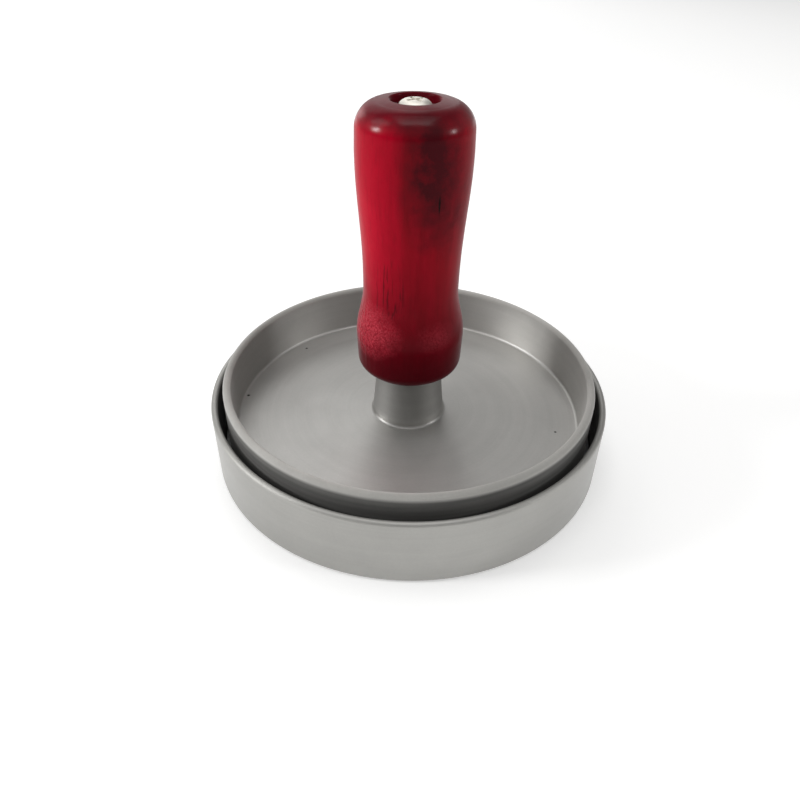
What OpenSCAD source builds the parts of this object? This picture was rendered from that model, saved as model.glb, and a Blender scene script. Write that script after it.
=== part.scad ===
// Hand press for round patties: a shallow mould ring with a loose release disc on its ledge,
// and a dished press plate carried by a turned wooden handle on one long machine screw.
// Z is up, the mould stands on Z = 0 and every piece is turned about the Z axis. Millimetres.

/* [Overall] */
// Height from the table to the top of the handle, pressed right down
total_h = 84; // [82:0.5:90]

/* [Mould ring] */
// Outside diameter of the mould
mould_d = 96.4; // [96:0.2:110]
// Height of the mould's wall
mould_h = 17.1; // [15:0.1:19]
// Thickness of the mould's wall
mould_wall = 1.5; // [1.2:0.1:1.6]
// How far the ledge that holds the release disc reaches inwards
ledge_w = 5.5; // [4:0.5:12]
// Thickness of the ledge
ledge_t = 2.4; // [1.6:0.1:3]

/* [Release disc] */
// Gap all round between the disc and the mould's wall
disc_gap = 0.4; // [0.3:0.1:1]
// Thickness of the disc without its ribs
disc_t = 2.2; // [1.6:0.1:3]

/* [Press plate] */
// Outside diameter of the press plate
press_d = 90; // [84:0.5:91]
// Thickness of the press plate's floor
press_floor_t = 2.6; // [2:0.1:3.4]
// Height of the rim above the floor's upper face
press_rim_h = 11.85; // [8:0.05:13]
// Thickness of the rim at its top
press_wall = 1.8; // [1.4:0.1:2.4]

/* [Pressing ribs] */
// Height of the round ribs on the disc
disc_rib_h = 0.9; // [0.5:0.1:1.5]
// Height of the round ribs under the press plate
press_rib_h = 1.5; // [0.5:0.1:2]
// Width of a rib where it meets the plate
rib_w = 2.2; // [1.4:0.1:3]
// Distance from one rib to the next
rib_pitch = 9.6; // [6:0.1:10]
// Number of ribs on each plate
rib_count = 4; // [1:1:4]

/* [Boss] */
// Diameter of the boss at the floor
boss_foot_d = 17.8; // [16:0.1:20]
// Diameter of the boss under the handle
boss_top_d = 15.4; // [10:0.1:16]
// Height of the boss above the floor
boss_h = 13.7; // [12:0.1:14.4]

/* [Handle] */
// Diameter of the grip at its widest
grip_d = 24.4; // [22:0.1:28]
// Diameter of the waist
waist_d = 21.6; // [18:0.1:22]
// Diameter of the bulge at the lower end
bulge_d = 25.2; // [23:0.1:30]
// Diameter of the end face at the top
end_face_d = 14.4; // [12:0.1:18]
// How far the end face falls from the counterbore to its edge
end_fall = 0.4; // [0:0.1:1]
// Diameter of the counterbore for the screw's head
counterbore_d = 10; // [9.2:0.1:11]
// Diameter of the bore for the screw
handle_bore_d = 4.5; // [4.2:0.1:6]

/* [Screw] */
// Thread diameter
screw_d = 4; // [4:1:4]
// Length under the head
screw_l = 70; // [62:1:72]
// Diameter of the pan head
head_d = 7; // [6.6:0.1:7.6]
// Height of the pan head
head_h = 2.6; // [2.2:0.1:3]

/* [Washers] */
// Diameter of the flat washer
flat_washer_d = 9; // [8:0.1:9]
// Thickness of the flat washer
flat_washer_t = 0.8; // [0.5:0.1:1]
// Diameter of the spring washer
spring_washer_d = 7.6; // [7:0.1:8]
// Thickness of the spring washer, pressed flat
spring_washer_t = 1; // [0.8:0.1:1.2]

/* [Hidden] */
$fn = 96;
// a cut passes a face by this much
pass = 1;

// heights, from the table up
disc_top = ledge_t + disc_t;
rib_meet = disc_top + disc_rib_h;
press_under = rib_meet + press_rib_h;
floor_top = press_under + press_floor_t;
press_top = floor_top + press_rim_h;
boss_top = floor_top + boss_h;
head_sink = 0.1;
head_seat = total_h - head_sink - head_h;
spring_seat = head_seat - spring_washer_t;
counterbore_floor = spring_seat - flat_washer_t;
screw_end = head_seat - screw_l;

// radii
mould_r = mould_d / 2;
mould_inner_r = mould_r - mould_wall;
press_r = press_d / 2;
rib_crest = 0.6 * rib_w;
rib_root = 0.5;
wall_draft = 0.5;
corner_r = 1.2;
fillet_r = 0.7;

// tapped hole in the boss
tap_play = 0.05;
tap_r = screw_d / 2 + tap_play;
tap_end = screw_end - 0.7;
tap_lead = 0.4;

// handle: heights of its widest places, as shares of its length
handle_h = total_h - boss_top;
bulge_z = boss_top + 0.15 * handle_h;
waist_top_z = boss_top + 0.375 * handle_h;
waist_z = boss_top + 0.345 * handle_h;
grip_z = boss_top + 0.845 * handle_h;
grip_edge_z = total_h - 5.4;
grip_edge_r = grip_d / 2 - 0.1;
foot_round = 3;
foot_pull = 0.25;
curve_steps = 12;

// cross recess
recess_l = 4.2;
recess_w = 0.9;
recess_depth = 1.5;
recess_taper = 0.5;
recess_turn = 35;

// A smooth swell from radius r0 at height z0 to radius r1 at height z1, level at both ends
function swell(r0, z0, r1, z1) =
    [for (i = [0 : curve_steps])
        let (t = i / curve_steps)
        [r0 + (r1 - r0) * (1 - cos(180 * t)) / 2, z0 + (z1 - z0) * t]];

// A quarter of an ellipse about (r, z) with half axes a and b, from angle a0 to angle a1
function round_end(r, z, a, b, a0, a1) =
    [for (i = [0 : curve_steps])
        let (t = a0 + (a1 - a0) * i / curve_steps)
        [r + a * cos(t), z + b * sin(t)]];

// Section of a wall from radius r0 to r1 and from z0 to z1, with a full round on its top edge
module wall_section(r0, r1, z0, z1) {
    round_r = (r1 - r0) / 2;
    translate([r0, z0])
        square([r1 - r0, z1 - z0 - round_r]);
    translate([r0 + round_r, z1 - round_r])
        circle(r = round_r);
}

// Fillet that fills an inside corner at (r, z); side is 1 where it lies outside r, -1 inside
module fillet_section(r, z, side, size) {
    translate([r, z])
        difference() {
            translate([side > 0 ? 0 : -size, 0])
                square(size);
            translate([side * size, size])
                circle(r = size);
        }
}

// Cuts the outside lower corner at (r, z) to a round
module round_corner_cut(r, z, size) {
    translate([r, z])
        difference() {
            translate([-size, -pass])
                square([size + pass, size + pass]);
            translate([-size, size])
                circle(r = size);
            translate([-size - pass, size])
                square([size + pass, pass]);
        }
}

// Sections of the round pressing ribs, which stand up from height 0 and are rooted below it
module rib_sections(h) {
    for (i = [1 : rib_count])
        translate([i * rib_pitch, 0])
            polygon([
                [-rib_w / 2, -rib_root],
                [rib_w / 2, -rib_root],
                [rib_w / 2, 0],
                [rib_crest / 2, h],
                [-rib_crest / 2, h],
                [-rib_w / 2, 0]
            ]);
}

// Spun or cast ring with a ledge inside its foot
module mould_ring() {
    color([0.80, 0.80, 0.79])
        rotate_extrude()
            difference() {
                union() {
                    wall_section(mould_inner_r, mould_r, 0, mould_h);
                    translate([mould_inner_r - ledge_w, 0])
                        square([ledge_w + mould_wall / 2, ledge_t]);
                }
                round_corner_cut(mould_r, 0, mould_wall / 2);
            }
}

// Loose disc that lies on the ledge
module base_plate() {
    disc_r = mould_inner_r - disc_gap;
    color([0.76, 0.77, 0.77])
        rotate_extrude()
            union() {
                difference() {
                    translate([0, ledge_t])
                        square([disc_r, disc_t]);
                    round_corner_cut(disc_r, ledge_t, disc_t / 4);
                }
                translate([0, disc_top])
                    rib_sections(disc_rib_h);
            }
}

// Dish with an upright rim, a boss for the handle and ribs underneath
module press_plate() {
    rim_inner_r = press_r - press_wall;
    color([0.82, 0.82, 0.81])
        difference() {
            rotate_extrude()
                union() {
                    difference() {
                        union() {
                            translate([0, press_under])
                                square([press_r, press_floor_t]);
                            wall_section(rim_inner_r, press_r, press_under, press_top);
                            polygon([
                                [rim_inner_r - wall_draft, floor_top],
                                [press_r - press_wall / 2, floor_top],
                                [rim_inner_r, press_top - press_wall / 2]
                            ]);
                        }
                        round_corner_cut(press_r, press_under, corner_r);
                    }
                    fillet_section(rim_inner_r - wall_draft, floor_top, -1, fillet_r);
                    fillet_section(boss_foot_d / 2 - wall_draft / 4, floor_top, 1, fillet_r);
                    polygon([
                        [0, floor_top],
                        [boss_foot_d / 2, floor_top],
                        [boss_top_d / 2, boss_top],
                        [0, boss_top]
                    ]);
                    translate([0, press_under])
                        mirror([0, 1])
                            rib_sections(press_rib_h);
                }
            translate([0, 0, tap_end])
                cylinder(r = tap_r, h = boss_top - tap_end + pass);
            translate([0, 0, boss_top - tap_lead])
                cylinder(r1 = tap_r, r2 = tap_r + tap_lead, h = tap_lead);
        }
}

// Turned wooden handle
module handle() {
    bulge_r = bulge_d / 2;
    waist_r = waist_d / 2;
    grip_r = grip_d / 2;
    end_r = end_face_d / 2;
    foot_r = bulge_r - foot_pull;
    outline = concat(
        [[0, boss_top]],
        round_end(foot_r - foot_round, boss_top + foot_round, foot_round, foot_round, -90, 0),
        swell(bulge_r, bulge_z, waist_r, waist_z),
        swell(waist_r, waist_top_z, grip_r, grip_z),
        round_end(end_r, grip_edge_z, grip_edge_r - end_r, total_h - end_fall - grip_edge_z, 0, 90),
        [[counterbore_d / 2, total_h], [0, total_h]]
    );
    color([0.56, 0.03, 0.09])
        difference() {
            rotate_extrude()
                polygon(outline);
            translate([0, 0, boss_top - pass])
                cylinder(d = handle_bore_d, h = total_h - boss_top + 2 * pass);
            translate([0, 0, counterbore_floor])
                cylinder(d = counterbore_d, h = total_h - counterbore_floor + pass);
        }
}

// One tapered wing of the cross recess, cut down from the head's top face
module recess_wing(angle) {
    rotate([0, 0, angle])
        rotate([90, 0, 0])
            linear_extrude(height = recess_w, center = true)
                polygon([
                    [-recess_l / 2, pass],
                    [-recess_l / 2, 0],
                    [-recess_l / 2 + recess_taper, -recess_depth],
                    [recess_l / 2 - recess_taper, -recess_depth],
                    [recess_l / 2, 0],
                    [recess_l / 2, pass]
                ]);
}

// Long machine screw with a pan head and a cross recess, its thread drawn as a plain rod
module handle_screw() {
    head_r = head_d / 2;
    skirt_h = 0.35 * head_h;
    crown_r = 0.45 * head_r;
    point = 0.5;
    color([0.78, 0.78, 0.76])
        difference() {
            rotate_extrude()
                polygon(concat(
                    [[0, screw_end], [screw_d / 2 - point, screw_end], [screw_d / 2, screw_end + point]],
                    [[screw_d / 2, head_seat], [head_r, head_seat]],
                    round_end(crown_r, head_seat + skirt_h, head_r - crown_r, head_h - skirt_h, 0, 90),
                    [[0, head_seat + head_h]]
                ));
            for (angle = [0, 90])
                translate([0, 0, head_seat + head_h])
                    recess_wing(angle + recess_turn);
        }
}

// Split lock washer, pressed flat under the head
module spring_washer() {
    split_w = 0.6;
    split_slant = 20;
    color([0.70, 0.71, 0.72])
        difference() {
            translate([0, 0, spring_seat])
                cylinder(d = spring_washer_d, h = spring_washer_t);
            translate([0, 0, spring_seat - pass])
                cylinder(r = tap_r, h = spring_washer_t + 2 * pass);
            translate([0, spring_washer_d / 2, spring_seat + spring_washer_t / 2])
                rotate([0, split_slant, 0])
                    cube([split_w, spring_washer_d, 3 * spring_washer_t], center = true);
        }
}

// Flat washer on the floor of the counterbore
module flat_washer() {
    washer_play = 0.15;
    color([0.74, 0.75, 0.76])
        difference() {
            translate([0, 0, counterbore_floor])
                cylinder(d = flat_washer_d, h = flat_washer_t);
            translate([0, 0, counterbore_floor - pass])
                cylinder(r = screw_d / 2 + washer_play, h = flat_washer_t + 2 * pass);
        }
}

mould_ring();
base_plate();
press_plate();
handle();
handle_screw();
spring_washer();
flat_washer();
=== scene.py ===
"""A hand press for round patties: mould ring, loose release disc, dished press plate, and a
turned, lacquered handle held by one long screw with two washers. The pieces are sized in mm,
the table and the lamps in metres."""
import math

import bmesh
import bpy
from mathutils import Matrix, Vector, noise


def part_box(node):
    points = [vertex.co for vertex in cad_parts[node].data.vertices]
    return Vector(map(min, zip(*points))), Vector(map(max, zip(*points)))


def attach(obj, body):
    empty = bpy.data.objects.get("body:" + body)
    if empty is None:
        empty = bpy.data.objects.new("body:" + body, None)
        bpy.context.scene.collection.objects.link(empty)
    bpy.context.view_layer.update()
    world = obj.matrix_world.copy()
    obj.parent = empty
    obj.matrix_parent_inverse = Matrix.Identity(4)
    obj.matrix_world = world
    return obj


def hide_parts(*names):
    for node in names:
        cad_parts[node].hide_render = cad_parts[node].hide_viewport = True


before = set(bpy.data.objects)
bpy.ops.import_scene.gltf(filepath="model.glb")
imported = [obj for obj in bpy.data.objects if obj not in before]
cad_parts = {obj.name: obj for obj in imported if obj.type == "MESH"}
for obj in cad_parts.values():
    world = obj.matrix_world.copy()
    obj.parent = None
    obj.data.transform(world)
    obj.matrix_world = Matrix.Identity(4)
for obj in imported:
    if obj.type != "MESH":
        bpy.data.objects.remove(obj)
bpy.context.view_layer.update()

MM = 0.001


# ---------------------------------------------------------------------------------------------
# Camera, table and lamps
# A hand-held look from close in front and above. The white table is lit from overhead, from
# behind and from both sides, and a small bright window on each side gleams in the lacquer.
camera_place = Vector((0, -141.6, 117.2)) * MM
camera_heading = -0.0146
camera_dip = 0.6411
camera_tilt = 0.0158
lens_mm = 31.2
near_clip = 5 * MM

camera = bpy.data.objects.new("camera", bpy.data.cameras.new("camera"))
camera.data.lens = lens_mm
camera.data.clip_start = near_clip
turn = (
    Matrix.Rotation(-camera_heading, 4, "Z")
    @ Matrix.Rotation(math.pi / 2 - camera_dip, 4, "X")
    @ Matrix.Rotation(camera_tilt, 4, "Z")
)
camera.matrix_world = Matrix.Translation(camera_place) @ turn
bpy.context.scene.collection.objects.link(camera)
bpy.context.scene.camera = camera
bpy.context.scene.view_settings.view_transform = "Standard"


def put(tree, kind, *sources, **settings):
    """Adds a shader node and fills its inputs in order; None leaves an input as it is."""
    made = tree.nodes.new("ShaderNode" + kind)
    for key, value in settings.items():
        setattr(made, key, value)
    for socket, source in zip(made.inputs, sources):
        if isinstance(source, bpy.types.NodeSocket):
            tree.links.new(source, socket)
        elif source is not None:
            socket.default_value = source
    return made


def new_material(name, settings):
    """A material with one Principled shader, and that shader's plain numbers and colours."""
    material = bpy.data.materials.new(name)
    material.use_nodes = True
    shader = material.node_tree.nodes["Principled BSDF"]
    for key, value in settings.items():
        shader.inputs[key].default_value = value
    return material, material.node_tree, shader


def add_table():
    half = 3.0
    gap = 0.3 * MM
    bm = bmesh.new()
    bmesh.ops.create_grid(bm, x_segments=1, y_segments=1, size=half)
    bmesh.ops.translate(bm, vec=(0, 0, -gap), verts=bm.verts)
    mesh = bpy.data.meshes.new("table")
    bm.to_mesh(mesh)
    bm.free()
    material, _, _ = new_material("white_table", {
        "Base Color": (0.80, 0.80, 0.795, 1),
        "Roughness": 0.9,
        "Specular IOR Level": 0.1,
        "Emission Color": (1, 1, 1, 1),
        "Emission Strength": 0.40,
    })
    mesh.materials.append(material)
    table = bpy.data.objects.new("table", mesh)
    bpy.context.scene.collection.objects.link(table)


def add_lamp(name, place, width, height, brightness, target=(0, 0, 0.05)):
    """A soft panel that faces the target; its brightness is next to a white sheet's 1."""
    lamp = bpy.data.lights.new(name, "AREA")
    lamp.shape = "RECTANGLE"
    lamp.size = width
    lamp.size_y = height
    lamp.energy = brightness * math.pi * width * height
    holder = bpy.data.objects.new(name, lamp)
    holder.location = place
    aim = Vector(target) - Vector(place)
    holder.rotation_euler = aim.to_track_quat("-Z", "Y").to_euler()
    bpy.context.scene.collection.objects.link(holder)


add_table()
add_lamp("overhead", (0, 0, 1.10), 0.80, 0.80, 2.3)
add_lamp("back_window", (-0.27, 0.80, 0.75), 0.68, 0.45, 1.45)
add_lamp("back_wall", (-0.30, 1.00, 0.34), 1.10, 0.40, 1.2)
add_lamp("left_wall", (-0.80, 0.00, 0.80), 0.50, 0.50, 1.4)
add_lamp("left_window", (-0.90, -0.15, 0.38), 0.17, 0.19, 36)
add_lamp("right_window", (0.95, -0.20, 0.38), 0.13, 0.15, 24)

room_white = (1.0, 1.0, 0.995, 1)
room_light = 0.20
world = bpy.data.worlds.new("room")
world.use_nodes = True
background = world.node_tree.nodes["Background"]
background.inputs["Color"].default_value = room_white
background.inputs["Strength"].default_value = room_light
bpy.context.scene.world = world


# ---------------------------------------------------------------------------------------------
# Mould ring
# A low cast aluminium ring, turned inside and out, with a full round on its rim and a narrow
# ledge inside its foot. It stands loose on the table and holds everything else.
mould_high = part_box("mould_ring")[1]
disc_low, disc_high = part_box("base_plate")
mould_r = mould_high.x / MM
mould_top = mould_high.z / MM
mould_wall = 1.5
mould_inner_r = mould_r - mould_wall
mould_rim_round = 0.74
mould_foot_round = 0.75
ledge_w = 5.5
ledge_inner_r = mould_inner_r - ledge_w
ledge_top = disc_low.z / MM
casting_grey = (0.385, 0.38, 0.363, 1)


def rounded_outline(corners, steps=6):
    """Turns (radius, height, rounding) corners into points, with an arc at each rounded corner."""
    points = []
    for i, (r, z, rounding) in enumerate(corners):
        corner = Vector((r, z))
        if not rounding:
            points.append(corner)
            continue
        before = Vector(corners[i - 1][:2]) - corner
        after = Vector(corners[(i + 1) % len(corners)][:2]) - corner
        before.normalize()
        after.normalize()
        half_angle = before.angle(after) / 2
        reach = rounding / math.tan(half_angle)
        centre = corner + (before + after).normalized() * rounding / math.sin(half_angle)
        first = corner + before * reach - centre
        last = corner + after * reach - centre
        sweep = math.atan2(first.cross(last), first.dot(last))
        for step in range(steps + 1):
            points.append(centre + Matrix.Rotation(sweep * step / steps, 2) @ first)
    return points


def turned_mesh(outline, segments=192, closed=True):
    """Spins an outline of (radius, height) points about Z; an open one starts and ends on Z."""
    bm = bmesh.new()
    verts = [bm.verts.new((r * MM, 0, z * MM)) for r, z in outline]
    ends = list(zip(verts, verts[1:]))
    if closed:
        ends.append((verts[-1], verts[0]))
    edges = [bm.edges.new(pair) for pair in ends]
    bmesh.ops.spin(
        bm, geom=verts + edges, cent=(0, 0, 0), axis=(0, 0, 1),
        angle=2 * math.pi, steps=segments, use_merge=True,
    )
    bmesh.ops.remove_doubles(bm, verts=bm.verts, dist=0.0005 * MM)
    bmesh.ops.recalc_face_normals(bm, faces=bm.faces)
    return bm


def finish_piece(bm, name, body, replaced, material, sharp_degrees=32):
    """Makes the object, shades it smooth up to its sharp edges and ties it to the frame."""
    mesh = bpy.data.meshes.new(name)
    bm.to_mesh(mesh)
    bm.free()
    mesh.shade_smooth()
    mesh.set_sharp_from_angle(angle=math.radians(sharp_degrees))
    mesh.materials.append(material)
    piece = bpy.data.objects.new(name, mesh)
    bpy.context.scene.collection.objects.link(piece)
    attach(piece, body)
    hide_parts(replaced)
    return piece


def turned_metal(name, colour, roughness, line_height, rim_z, specks=(), shaded_gap_wall=None, cast=None):
    """Satin metal off the lathe: fine rings about Z, clouded by handling, a few dark specks.
    Above the height rim_z the edge is eased with emery, which leaves it more matt; there its
    colour is also made lighter, a painted highlight along the round rim.
    specks are (place in mm, radius in mm). The gap-wall tuple is the (radius, side, top) in mm of
    a wall that faces the narrow gap between the press and the mould: its colour is darkened there
    in streaks as painted shade, and rubbing makes it rougher; side +1 for an outer wall and -1 for
    a bore. cast is the (radius, height, bore radius) in mm of a boss in a dish: the boss keeps the
    skin of the casting above that height, and the dish's wall is turned less finely than its
    floor."""
    material, tree, shader = new_material(name, {
        "Metallic": 1.0,
        "Anisotropic": 0.4,
        "Anisotropic Rotation": 0.25,
    })
    place = put(tree, "TexCoord").outputs["Object"]
    x, y, z = put(tree, "SeparateXYZ", place).outputs
    flat = put(tree, "CombineXYZ", x, y).outputs[0]
    radius = put(tree, "VectorMath", flat, operation="LENGTH").outputs["Value"]

    def rings(spacing_mm, drift_mm, detail):
        along = put(tree, "Math", radius, 1 / (spacing_mm * MM), operation="MULTIPLY").outputs[0]
        up = put(tree, "Math", z, 1 / (spacing_mm * MM), operation="MULTIPLY").outputs[0]
        across = put(tree, "Math", x, 1 / (drift_mm * MM), operation="MULTIPLY").outputs[0]
        depth = put(tree, "Math", y, 1 / (drift_mm * MM), operation="MULTIPLY").outputs[0]
        spot = put(tree, "CombineXYZ", along, up, across).outputs[0]
        return put(tree, "TexNoise", spot, depth, 1.0, detail, noise_dimensions="4D").outputs[0]

    fine = rings(0.22, 30, 2.0)
    broad = rings(1.6, 45, 3.0)
    cloud = put(tree, "TexNoise", place, None, 55.0, 4.0, 0.6).outputs[0]
    grit = put(tree, "TexNoise", place, None, 1900.0, 2.0, 0.5).outputs[0]

    tone = 0.73
    for pattern, share in ((fine, 0.10), (broad, 0.12), (cloud, 0.20), (grit, 0.08)):
        tone = put(tree, "Math", pattern, share, tone, operation="MULTIPLY_ADD").outputs[0]
    rim_fade = 0.35
    eased_rim_and_highlight = put(tree, "MapRange", z, rim_z * MM, (rim_z + rim_fade) * MM, 0.0, 1.0).outputs[0]
    if cast:
        cast_r, cast_z, bore_r = cast
        wall = put(tree, "MapRange", radius, (bore_r - 0.4) * MM, (bore_r - 0.1) * MM).outputs[0]
        eased_rim_and_highlight = put(tree, "Math", eased_rim_and_highlight, wall, operation="MULTIPLY").outputs[0]
    # painted highlight: the colour is made lighter along the round rim
    rim_highlight_tone = put(tree, "Math", eased_rim_and_highlight, 0.22, 1.0, operation="MULTIPLY_ADD").outputs[0]
    tone = put(tree, "Math", tone, rim_highlight_tone, operation="MULTIPLY").outputs[0]
    speck_tone = 0.12
    for spot, size in specks:
        centre = tuple(v * MM for v in spot)
        away = put(tree, "VectorMath", place, centre, operation="DISTANCE").outputs["Value"]
        clear = put(
            tree, "MapRange", away, 0.5 * size * MM, size * MM, speck_tone, 1.0,
        ).outputs[0]
        tone = put(tree, "Math", tone, clear, operation="MULTIPLY").outputs[0]
    if shaded_gap_wall:
        wall_r, side, wall_top = shaded_gap_wall
        on_wall = put(
            tree, "MapRange", radius,
            (wall_r - 0.3 * side) * MM, (wall_r - 0.05 * side) * MM, 0.0, 1.0,
        ).outputs[0]
        off_foot = put(tree, "MapRange", z, 0.4 * MM, 1.0 * MM, 0.0, 1.0).outputs[0]
        below = put(
            tree, "MapRange", z, (wall_top - 0.9) * MM, wall_top * MM, 1.0, 0.0,
        ).outputs[0]
        gap_wall_mask = put(tree, "Math", on_wall, off_foot, operation="MULTIPLY").outputs[0]
        gap_wall_mask = put(tree, "Math", gap_wall_mask, below, operation="MULTIPLY").outputs[0]
        # painted shade: streaks of dark colour on the wall in the narrow gap between the press and
        # the mould
        streaky = put(tree, "MapRange", broad, 0.35, 0.65, 0.36, 0.46).outputs[0]
        streaky = put(tree, "Math", streaky, 1.0, operation="SUBTRACT").outputs[0]
        dark = put(tree, "Math", gap_wall_mask, streaky, 1.0, operation="MULTIPLY_ADD").outputs[0]
        tone = put(tree, "Math", tone, dark, operation="MULTIPLY").outputs[0]
    if cast:
        near = put(
            tree, "MapRange", radius, cast_r * MM, (cast_r + 0.2) * MM, 1.0, 0.0,
        ).outputs[0]
        high = put(tree, "MapRange", z, cast_z * MM, (cast_z + 2.0) * MM, 0.0, 1.0).outputs[0]
        skin = put(tree, "Math", near, high, operation="MULTIPLY").outputs[0]
        dull = put(tree, "Math", skin, -0.14, 1.0, operation="MULTIPLY_ADD").outputs[0]
        tone = put(tree, "Math", tone, dull, operation="MULTIPLY").outputs[0]
    paint = put(tree, "VectorMath", colour[:3], operation="SCALE")
    tree.links.new(tone, paint.inputs["Scale"])
    tree.links.new(paint.outputs[0], shader.inputs["Base Color"])

    smear = put(tree, "TexNoise", place, None, 90.0, 5.0, 0.65).outputs[0]
    matt = put(tree, "Math", smear, 0.16, roughness - 0.08, operation="MULTIPLY_ADD").outputs[0]
    matt = put(tree, "Math", fine, 0.06, matt, operation="MULTIPLY_ADD").outputs[0]
    matt = put(tree, "Math", eased_rim_and_highlight, 0.26, matt, operation="MULTIPLY_ADD").outputs[0]
    if shaded_gap_wall:
        matt = put(tree, "Math", gap_wall_mask, 0.25, matt, operation="MULTIPLY_ADD").outputs[0]
    if cast:
        matt = put(tree, "Math", skin, 0.20, matt, operation="MULTIPLY_ADD").outputs[0]
        matt = put(tree, "Math", wall, 0.12, matt, operation="MULTIPLY_ADD").outputs[0]
    tree.links.new(matt, shader.inputs["Roughness"])

    lines = put(tree, "Math", broad, 1.5, fine, operation="MULTIPLY_ADD").outputs[0]
    rough_skin = put(tree, "Math", grit, 0.5, lines, operation="MULTIPLY_ADD").outputs[0]
    bump = put(tree, "Bump")
    bump.inputs["Strength"].default_value = 1.0
    bump.inputs["Distance"].default_value = line_height * MM
    tree.links.new(rough_skin, bump.inputs["Height"])
    tree.links.new(bump.outputs[0], shader.inputs["Normal"])
    around = put(tree, "Tangent", direction_type="RADIAL", axis="Z")
    tree.links.new(around.outputs[0], shader.inputs["Tangent"])
    return material


mould_outline = rounded_outline([
    (ledge_inner_r, 0, 0.3),
    (mould_r, 0, mould_foot_round),
    (mould_r, mould_top, mould_rim_round),
    (mould_inner_r, mould_top, mould_rim_round),
    (mould_inner_r, ledge_top, 0.3),
    (ledge_inner_r, ledge_top, 0.4),
])
mould_metal = turned_metal(
    "turned_casting", casting_grey, 0.31, 0.004, mould_top - 1.0,
    shaded_gap_wall=(mould_inner_r, -1, mould_top - 0.3),
)
finish_piece(
    turned_mesh(mould_outline, 256), "mould", "mould", "mould_ring", mould_metal,
)


# ---------------------------------------------------------------------------------------------
# Release disc
# A loose aluminium disc that lies on the mould's ledge, with round pressing ribs on its upper
# face and a lathe centre underneath. Pushing it up from below lifts the patty out.
disc_r = disc_high.x / MM
disc_t = 2.2
disc_top = ledge_top + disc_t
disc_rib_top = disc_high.z / MM
rib_count = 4
rib_pitch = 9.6
rib_w = 2.2
rib_crest = 0.6 * rib_w


def rib_corners(base_z, crest_z, inwards=False):
    """Corners of the round ribs between two heights, from the axis outwards or back to it."""
    corners = []
    for i in range(1, rib_count + 1):
        r = i * rib_pitch
        corners += [
            (r - rib_w / 2, base_z, 0.35),
            (r - rib_crest / 2, crest_z, 0.3),
            (r + rib_crest / 2, crest_z, 0.3),
            (r + rib_w / 2, base_z, 0.35),
        ]
    return corners[::-1] if inwards else corners


centre_mark_r = 1.2
centre_mark_depth = 0.7
disc_outline = rounded_outline([
    (0, ledge_top + centre_mark_depth, 0),
    (centre_mark_r, ledge_top, 0.1),
    (disc_r, ledge_top, 0.5),
    (disc_r, disc_top, 0.3),
    *rib_corners(disc_top, disc_rib_top, inwards=True),
    (0, disc_top, 0),
], steps=4)
disc_grey = (0.40, 0.405, 0.405, 1)
disc_metal = turned_metal("turned_disc", disc_grey, 0.36, 0.005, disc_rib_top)
finish_piece(
    turned_mesh(disc_outline, closed=False),
    "release_disc", "release_disc", "base_plate", disc_metal,
)


# ---------------------------------------------------------------------------------------------
# Press plate
# A dished aluminium casting, turned all over: an upright rim, a flat floor, round ribs under it
# and a tapered boss with a tapped blind hole for the handle's screw.
press_low, press_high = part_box("press_plate")
press_r = press_high.x / MM
boss_top = press_high.z / MM
rib_meet = press_low.z / MM
press_rib_h = 1.5
press_floor_t = 2.6
press_rim_h = 11.85
press_under = rib_meet + press_rib_h
press_floor = press_under + press_floor_t
press_top = press_floor + press_rim_h
press_rim_round = 0.88
press_corner_round = 1.2
press_wall = 1.8
press_inner_r = press_r - press_wall
wall_draft = 0.5
boss_foot_r = 8.9
boss_head_r = 7.7
foot_fillet = 0.7
thread_r = 2.0
thread_depth = 0.4
thread_pitch = 0.7
tap_play = 0.05
tap_r = thread_r + tap_play
screw_low, screw_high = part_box("handle_screw")
screw_end = screw_low.z / MM
tap_spare = 0.7
tap_end = screw_end - tap_spare
tap_lead = 0.4
drill_point = 1.2
press_mark_r = 1.1
press_mark_depth = 0.6
press_grey = (0.50, 0.493, 0.475, 1)


def thread_cut(angle, height):
    """How deep a right-handed screw thread lies below its crest, in mm, at a place on it."""
    turns = height / thread_pitch - angle / (2 * math.pi)
    share = abs(2 * (turns - math.floor(turns)) - 1)
    flat = 0.12
    return thread_depth * min(1, max(0, (share - flat) / (1 - 2 * flat)))


def cut_thread(bm, near_r, low, high):
    """Moves the points of a plain rod or hole of radius near_r in and out to form a thread."""
    run_out = 2 * thread_pitch
    for vert in bm.verts:
        r = math.hypot(vert.co.x, vert.co.y) / MM
        z = vert.co.z / MM
        if abs(r - near_r) > 0.02 or not low < z < high:
            continue
        fade = min(1, (z - low) / (0.5 * thread_pitch), (high - z) / run_out)
        depth = thread_cut(math.atan2(vert.co.y, vert.co.x), z) * fade
        vert.co.xy *= (r - depth) / r


def rod_heights(low, high, per_turn=8):
    """Heights at which a threaded stretch needs points."""
    count = round((high - low) / thread_pitch * per_turn)
    return [low + (high - low) * i / count for i in range(1, count)]


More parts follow.
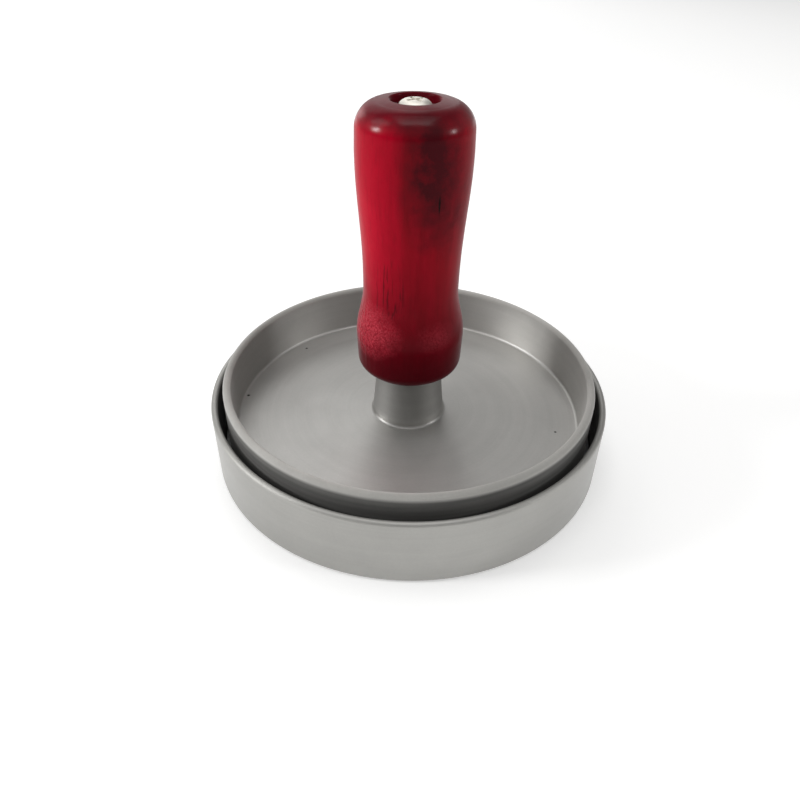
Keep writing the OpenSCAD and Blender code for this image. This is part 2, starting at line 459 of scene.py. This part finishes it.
hole_top = boss_top - tap_lead
press_outline = rounded_outline([
    (0, press_under + press_mark_depth, 0),
    (press_mark_r, press_under, 0.1),
    *rib_corners(press_under, rib_meet),
    (press_r, press_under, press_corner_round),
    (press_r, press_top, press_rim_round),
    (press_inner_r, press_top, press_rim_round),
    (press_inner_r - wall_draft, press_floor, foot_fillet),
    (boss_foot_r, press_floor, foot_fillet),
    (boss_head_r, boss_top, 0.4),
    (tap_r + tap_lead, boss_top, 0),
    (tap_r, hole_top, 0),
    *[(tap_r, z, 0) for z in rod_heights(tap_end, hole_top)[::-1]],
    (tap_r, tap_end, 0),
    (0, tap_end - drill_point, 0),
])
press_bm = turned_mesh(press_outline, 256, closed=False)
cut_thread(press_bm, tap_r, tap_end, hole_top)
press_metal = turned_metal(
    "turned_press", press_grey, 0.47, 0.003, press_top - 1.1,
    specks=(
        ((36.3, -9.0, press_floor), 0.4),
        ((-29.5, 26.3, press_floor), 0.45),
        ((-41.6, 3.0, press_floor), 0.5),
    ),
    shaded_gap_wall=(press_r, 1, press_top - 0.8),
    cast=(boss_foot_r, press_floor + foot_fillet, press_inner_r),
)
finish_piece(press_bm, "press_dish", "press", "press_plate", press_metal)


# ---------------------------------------------------------------------------------------------
# Handle
# Hardwood turned on a lathe, bored through and counterbored, then dipped in red lacquer, with
# trapped bubbles above the lower bulge and a small check in the wood. Light and shade are painted
# into the red: brighter down the left, paler over the bubbles, darker at the shoulder and foot.
handle_low, handle_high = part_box("handle")
handle_foot = handle_low.z / MM
handle_top = handle_high.z / MM
handle_h = handle_top - handle_foot
bulge_r = 12.6
waist_r = 10.8
grip_r = 12.2
end_r = 7.2
end_fall = 0.4
shoulder_h = 5.4
foot_round = 3.0
foot_pull = 0.25
foot_r = bulge_r - foot_pull
bulge_z = handle_foot + 0.15 * handle_h
waist_z = handle_foot + 0.345 * handle_h
waist_top_z = handle_foot + 0.375 * handle_h
grip_z = handle_foot + 0.845 * handle_h
grip_fall = 0.1
bore_r = 2.25
counterbore_r = 5.0
counterbore_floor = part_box("flat_washer")[0].z / MM
mouth_round = 0.4
curve_steps = 56
froth_centre = Vector((-9.8, -7.6, 36.6))
froth_size = Vector((8.5, 8, 6.5))
froth_grain = 0.95
froth_height = 0.22


def swell(r0, z0, r1, z1):
    """A smooth swell between two radii, level at both ends."""
    shares = [i / curve_steps for i in range(curve_steps + 1)]
    return [
        (r0 + (r1 - r0) * (1 - math.cos(math.pi * t)) / 2, z0 + (z1 - z0) * t)
        for t in shares
    ]


def quarter(r, z, a, b, start, end, steps=16):
    """Part of an ellipse about (r, z) with half axes a and b, between two angles in degrees."""
    angles = [math.radians(start + (end - start) * i / steps) for i in range(steps + 1)]
    return [(r + a * math.cos(t), z + b * math.sin(t)) for t in angles]


handle_outline = [
    (bore_r, handle_foot),
    *quarter(foot_r - foot_round, handle_foot + foot_round, foot_round, foot_round, -90, 0),
    *swell(bulge_r, bulge_z, waist_r, waist_z),
    *swell(waist_r, waist_top_z, grip_r, grip_z),
    *quarter(
        end_r, handle_top - shoulder_h,
        grip_r - grip_fall - end_r, shoulder_h - end_fall, 0, 90,
    ),
    *quarter(
        counterbore_r + mouth_round, handle_top - mouth_round,
        mouth_round, mouth_round, 90, 180, steps=6,
    ),
    (counterbore_r, counterbore_floor),
    (bore_r, counterbore_floor),
]


def hand_finish(bm):
    """Gives the skin the slight waves of a dipped coat and the bubbles trapped in it."""
    for vert in bm.verts:
        r = math.hypot(vert.co.x, vert.co.y) / MM
        z = vert.co.z / MM
        inner = r < counterbore_r + 1.2
        if inner or z < handle_foot + 0.5:
            continue
        spot = vert.co / MM
        wave = noise.noise(Vector((spot.x, spot.y, 0.5 * spot.z)) / 9) * 0.09
        ripple = noise.noise(spot / 2.6) * 0.018
        off = spot - froth_centre
        away = Vector(o / size for o, size in zip(off, froth_size)).length
        away += 0.45 * noise.noise(spot / 1.9)
        bubble = max(0, 0.55 - noise.voronoi(spot / froth_grain)[0][0]) * froth_height
        bubble *= max(0, min(1, 2.2 * (1 - away)))
        vert.co.xy *= 1 + (wave + ripple + bubble - 0.04) / r


def red_lacquer():
    material, tree, shader = new_material("red_lacquer", {
        "Roughness": 0.5,
        "Specular IOR Level": 0.0,
        "Coat Weight": 1.0,
        "Coat Roughness": 0.23,
        "Coat IOR": 1.35,
        "Sheen Weight": 0.40,
        "Sheen Roughness": 0.30,
    })
    place = put(tree, "TexCoord").outputs["Object"]
    in_mm = put(tree, "VectorMath", place, (1 / MM,) * 3, operation="MULTIPLY").outputs[0]

    def streaks(across, along, detail=4.0, rough=0.55):
        stretched = put(
            tree, "VectorMath", in_mm, (1 / across, 1 / across, 1 / along), operation="MULTIPLY",
        ).outputs[0]
        return put(tree, "TexNoise", stretched, None, 1.0, detail, rough).outputs[0]

    def patch(centre, size, low=0.6, high=1.1, waver=0.9):
        """1 inside an egg-shaped patch on the skin, 0 outside, with a wavering edge."""
        shift = put(tree, "TexNoise", in_mm, None, 0.28, 3.0, 0.6).outputs[0]
        off = put(tree, "VectorMath", in_mm, centre, operation="SUBTRACT").outputs[0]
        scaled = put(
            tree, "VectorMath", off, tuple(1 / s for s in size), operation="MULTIPLY",
        ).outputs[0]
        away = put(tree, "VectorMath", scaled, operation="LENGTH").outputs["Value"]
        away = put(tree, "Math", shift, waver, away, operation="MULTIPLY_ADD").outputs[0]
        away = put(tree, "Math", away, waver / 2, operation="SUBTRACT").outputs[0]
        return put(tree, "MapRange", away, low, high, 1.0, 0.0).outputs[0]

    def tint(colour, mask, other):
        mix = put(tree, "Mix", data_type="RGBA")
        tree.links.new(mask, mix.inputs["Factor"])
        tree.links.new(colour, mix.inputs[6])
        mix.inputs[7].default_value = other
        return mix.outputs[2]

    grain = put(tree, "ValToRGB", streaks(2.4, 30, 5.0))
    grain.color_ramp.elements[0].position = 0.25
    grain.color_ramp.elements[0].color = (0.235, 0.0004, 0.006, 1)
    grain.color_ramp.elements[1].position = 0.70
    grain.color_ramp.elements[1].color = (0.34, 0.0006, 0.012, 1)
    colour = grain.outputs[0]

    # the colour is painted brighter down the front left, as light falling on that side, and
    # painted darker at the shoulder and the foot, as shade; the coat keeps most of its gloss where
    # it pooled round the shoulder
    painted_lit_side = patch((-10.5, -6.5, 58), (9.0, 9.0, 34), low=0.2, high=1.25, waver=0.5)
    colour = tint(colour, painted_lit_side, (0.54, 0.001, 0.022, 1))
    height = put(tree, "SeparateXYZ", in_mm).outputs["Z"]
    wander = put(tree, "TexNoise", in_mm, None, 0.16, 3.0, 0.6).outputs[0]
    level = put(tree, "Math", wander, 7.0, height, operation="MULTIPLY_ADD").outputs[0]
    under = put(
        tree, "MapRange", height, handle_top - 4.4, handle_top - 3.2, 0.20, 1.0,
    ).outputs[0]
    over = put(
        tree, "MapRange", height, handle_top - 2.2, handle_top - 1.2, 1.0, 0.24,
    ).outputs[0]
    gloss = put(tree, "Math", under, over, operation="MULTIPLY").outputs[0]
    tree.links.new(gloss, shader.inputs["Coat Weight"])
    # painted shade: the red is darkened towards the foot
    painted_foot_shade = put(
        tree, "MapRange", level, 28.0, 60.0, 0.80, 0.0, interpolation_type="SMOOTHSTEP",
    ).outputs[0]
    colour = tint(colour, painted_foot_shade, (0.045, 0.001, 0.004, 1))
    # painted shade: the red is darkened over the shoulder
    painted_shoulder_shade = put(
        tree, "MapRange", level, 81.5, 87.5, 0.0, 0.78, interpolation_type="SMOOTHSTEP",
    ).outputs[0]
    colour = tint(colour, painted_shoulder_shade, (0.060, 0.002, 0.007, 1))

    # dark figure in the wood, seen through the coat, and a short open check inside it
    mottle = put(tree, "TexNoise", in_mm, None, 0.30, 5.0, 0.6).outputs[0]
    mottle = put(tree, "MapRange", mottle, 0.28, 0.62, 0.55, 1.0).outputs[0]
    for centre, size, depth in (
        ((3.6, -11.8, 74), (6.4, 7.0, 15), 1.25),
        ((8.4, -8.4, 67.5), (6.0, 7.0, 13), 0.72),
    ):
        figure = patch(centre, size, low=0.25, high=1.25, waver=0.6)
        figure = put(tree, "Math", figure, mottle, operation="MULTIPLY").outputs[0]
        figure = put(tree, "Math", figure, depth, operation="MULTIPLY").outputs[0]
        colour = tint(colour, figure, (0.062, 0.0025, 0.006, 1))
    pores = put(tree, "MapRange", streaks(0.50, 7, 2.0, 0.6), 0.54, 0.63, 0.0, 1.0).outputs[0]
    runs = patch((-4.9, -10.0, 45), (4.0, 4.5, 9.5), low=0.5, high=1.1, waver=0.8)
    runs = put(tree, "Math", runs, 0.62, 0.12, operation="MULTIPLY_ADD").outputs[0]
    runs = put(tree, "Math", runs, pores, operation="MULTIPLY").outputs[0]
    colour = tint(colour, runs, (0.075, 0.001, 0.005, 1))
    check = patch((5.2, -10.9, 67), (0.26, 3.0, 2.7), low=0.40, high=0.95, waver=0.7)
    colour = tint(colour, check, (0.012, 0.001, 0.001, 1))

    # trapped bubbles turn the coat milky above the lower bulge; the pale tint there is also a
    # painted highlight where the bubbles catch the light
    froth = patch(froth_centre, froth_size, low=0.45, high=1.15, waver=0.5)
    milk_and_glint_area = patch((6.3, -10.8, 36.5), (5.0, 5.0, 4.0), low=0.2, high=1.1, waver=0.6)
    milk_and_glint_area = put(tree, "Math", milk_and_glint_area, 0.35, froth, operation="MULTIPLY_ADD").outputs[0]
    milk_and_glint = put(tree, "TexNoise", in_mm, None, 2.3, 3.0, 0.75).outputs[0]
    milk_and_glint = put(tree, "MapRange", milk_and_glint, 0.38, 0.64, 0.18, 1.0).outputs[0]
    milk_and_glint = put(tree, "Math", milk_and_glint, milk_and_glint_area, operation="MULTIPLY").outputs[0]
    # partly painted highlight: pale pink over the bubbles, beside their real milkiness
    colour = tint(colour, milk_and_glint, (0.56, 0.045, 0.070, 1))
    tree.links.new(colour, shader.inputs["Base Color"])

    bubbles = put(
        tree, "TexVoronoi", in_mm, None, 1.35, feature="SMOOTH_F1",
    ).outputs["Distance"]
    bubbles = put(tree, "Math", bubbles, froth, operation="MULTIPLY").outputs[0]
    skin = streaks(2.2, 3.0, 2.0)
    relief = put(tree, "Math", bubbles, 6.0, skin, operation="MULTIPLY_ADD").outputs[0]
    bump = put(tree, "Bump")
    bump.inputs["Strength"].default_value = 1.0
    bump.inputs["Distance"].default_value = 0.03 * MM
    tree.links.new(relief, bump.inputs["Height"])
    tree.links.new(bump.outputs[0], shader.inputs["Coat Normal"])
    tree.links.new(bump.outputs[0], shader.inputs["Normal"])
    return material


handle_bm = turned_mesh(handle_outline, 360)
hand_finish(handle_bm)
finish_piece(handle_bm, "grip", "press", "handle", red_lacquer())


# ---------------------------------------------------------------------------------------------
# Washers
# A stamped flat washer spreads the load on the wood; a split spring washer of square wire,
# squeezed flat, keeps the screw tight. Both are zinc-plated steel.
flat_low, flat_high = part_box("flat_washer")
spring_low, spring_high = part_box("spring_washer")
spring_inner_r = tap_r
spring_r = spring_high.x / MM
flat_r = flat_high.x / MM
flat_bore_r = thread_r + 0.15
split_angle = math.radians(9)
split_slant = 0.35


def zinc_plate(name, colour, roughness):
    material, tree, shader = new_material(name, {"Metallic": 1.0})
    place = put(tree, "TexCoord").outputs["Object"]
    cloud = put(tree, "TexNoise", place, None, 420.0, 4.0, 0.6).outputs[0]
    fine = put(tree, "TexNoise", place, None, 2600.0, 2.0, 0.6).outputs[0]
    tone = put(tree, "Math", cloud, 0.45, 0.72, operation="MULTIPLY_ADD").outputs[0]
    tone = put(tree, "Math", fine, 0.12, tone, operation="MULTIPLY_ADD").outputs[0]
    paint = put(tree, "VectorMath", colour[:3], operation="SCALE")
    tree.links.new(tone, paint.inputs["Scale"])
    tree.links.new(paint.outputs[0], shader.inputs["Base Color"])
    matt = put(tree, "Math", cloud, 0.25, roughness - 0.12, operation="MULTIPLY_ADD").outputs[0]
    tree.links.new(matt, shader.inputs["Roughness"])
    bump = put(tree, "Bump")
    bump.inputs["Distance"].default_value = 0.01 * MM
    tree.links.new(fine, bump.inputs["Height"])
    tree.links.new(bump.outputs[0], shader.inputs["Normal"])
    return material


washer_zinc = zinc_plate("washer_zinc", (0.62, 0.63, 0.64), 0.34)
flat_outline = rounded_outline([
    (flat_bore_r, flat_low.z / MM, 0.1),
    (flat_r, flat_low.z / MM, 0.1),
    (flat_r, flat_high.z / MM, 0.3),
    (flat_bore_r, flat_high.z / MM, 0.2),
], steps=4)
finish_piece(
    turned_mesh(flat_outline, 96),
    "load_washer", "press", "flat_washer", washer_zinc,
)

spring_outline = rounded_outline([
    (spring_inner_r, spring_low.z / MM, 0.12),
    (spring_r, spring_low.z / MM, 0.12),
    (spring_r, spring_high.z / MM, 0.12),
    (spring_inner_r, spring_high.z / MM, 0.12),
], steps=3)
spring_bm = bmesh.new()
spring_bm.faces.new([spring_bm.verts.new((r * MM, 0, z * MM)) for r, z in spring_outline])
bmesh.ops.rotate(
    spring_bm, verts=spring_bm.verts, cent=(0, 0, 0),
    matrix=Matrix.Rotation(math.pi / 2 + split_angle / 2, 3, "Z"),
)
bmesh.ops.spin(
    spring_bm, geom=spring_bm.faces[:] + spring_bm.edges[:] + spring_bm.verts[:],
    cent=(0, 0, 0), axis=(0, 0, 1), angle=2 * math.pi - split_angle, steps=90,
)
spring_middle = (spring_low.z + spring_high.z) / 2
for vert in spring_bm.verts:
    slope = (vert.co.z - spring_middle) * split_slant
    near_split = max(0, vert.co.y) / (spring_r * MM)
    vert.co.x += slope * near_split ** 8
bmesh.ops.recalc_face_normals(spring_bm, faces=spring_bm.faces)
finish_piece(spring_bm, "lock_washer", "press", "spring_washer", washer_zinc)


# ---------------------------------------------------------------------------------------------
# Handle screw
# A long M4 machine screw: domed pan head with a cross recess, cold-headed and zinc-plated, its
# thread rolled over the stretch that reaches into the boss.
head_r = screw_high.x / MM
head_top = screw_high.z / MM
head_seat = spring_high.z / MM
head_h = head_top - head_seat
skirt_h = 0.35 * head_h
crown_r = 0.45 * head_r
thread_spare = 8
thread_top = boss_top + thread_spare
point_chamfer = 0.5
recess_l = 4.2
recess_w = 0.9
recess_depth = 1.5
recess_taper = 0.5
recess_turn = math.radians(35)

screw_outline = [
    (0, screw_end),
    (thread_r - point_chamfer, screw_end),
    (thread_r, screw_end + point_chamfer),
    *[(thread_r, z) for z in rod_heights(screw_end + point_chamfer, thread_top)],
    (thread_r, thread_top),
    (thread_r, head_seat - 0.2),
    (thread_r + 0.02, head_seat),
    *rounded_outline([
        (thread_r + 0.04, head_seat, 0),
        (head_r, head_seat, 0.15),
        (head_r, head_seat + skirt_h, 0),
    ], steps=3)[1:-1],
    *quarter(crown_r, head_seat + skirt_h, head_r - crown_r, head_h - skirt_h, 0, 90),
    (0, head_top),
]
screw_bm = turned_mesh(screw_outline, 64, closed=False)
cut_thread(screw_bm, thread_r, screw_end, thread_top)


def recess_cutter(angle):
    """One tapered wing of the cross recess, as a solid to cut the head with."""
    bm = bmesh.new()
    bmesh.ops.create_cube(bm, size=1)
    for vert in bm.verts:
        deep = vert.co.z < 0
        length = recess_l - 2 * recess_taper if deep else recess_l
        width = 0.75 * recess_w if deep else recess_w
        vert.co.x *= length * MM
        vert.co.y *= width * MM
        vert.co.z = (head_top - recess_depth if deep else head_top + 0.5) * MM
    bmesh.ops.rotate(bm, verts=bm.verts, cent=(0, 0, 0), matrix=Matrix.Rotation(angle, 3, "Z"))
    mesh = bpy.data.meshes.new("recess_cutter")
    bm.to_mesh(mesh)
    bm.free()
    cutter = bpy.data.objects.new("recess_cutter", mesh)
    bpy.context.scene.collection.objects.link(cutter)
    return cutter


def cut_recess(bm):
    """Cuts both wings out of the head and returns the cut mesh."""
    mesh = bpy.data.meshes.new("screw_blank")
    bm.to_mesh(mesh)
    bm.free()
    blank = bpy.data.objects.new("screw_blank", mesh)
    bpy.context.scene.collection.objects.link(blank)
    cutters = [recess_cutter(recess_turn + angle) for angle in (0, math.pi / 2)]
    for cutter in cutters:
        cut = blank.modifiers.new("recess", "BOOLEAN")
        cut.object = cutter
        cut.operation = "DIFFERENCE"
        cut.solver = "EXACT"
    bpy.context.view_layer.update()
    shown = blank.evaluated_get(bpy.context.evaluated_depsgraph_get())
    result = bmesh.new()
    result.from_mesh(shown.to_mesh())
    for used in (*cutters, blank):
        bpy.data.objects.remove(used)
    return result


screw_zinc = zinc_plate("screw_zinc", (0.86, 0.83, 0.76), 0.55)
finish_piece(
    cut_recess(screw_bm), "long_screw", "press", "handle_screw", screw_zinc,
)
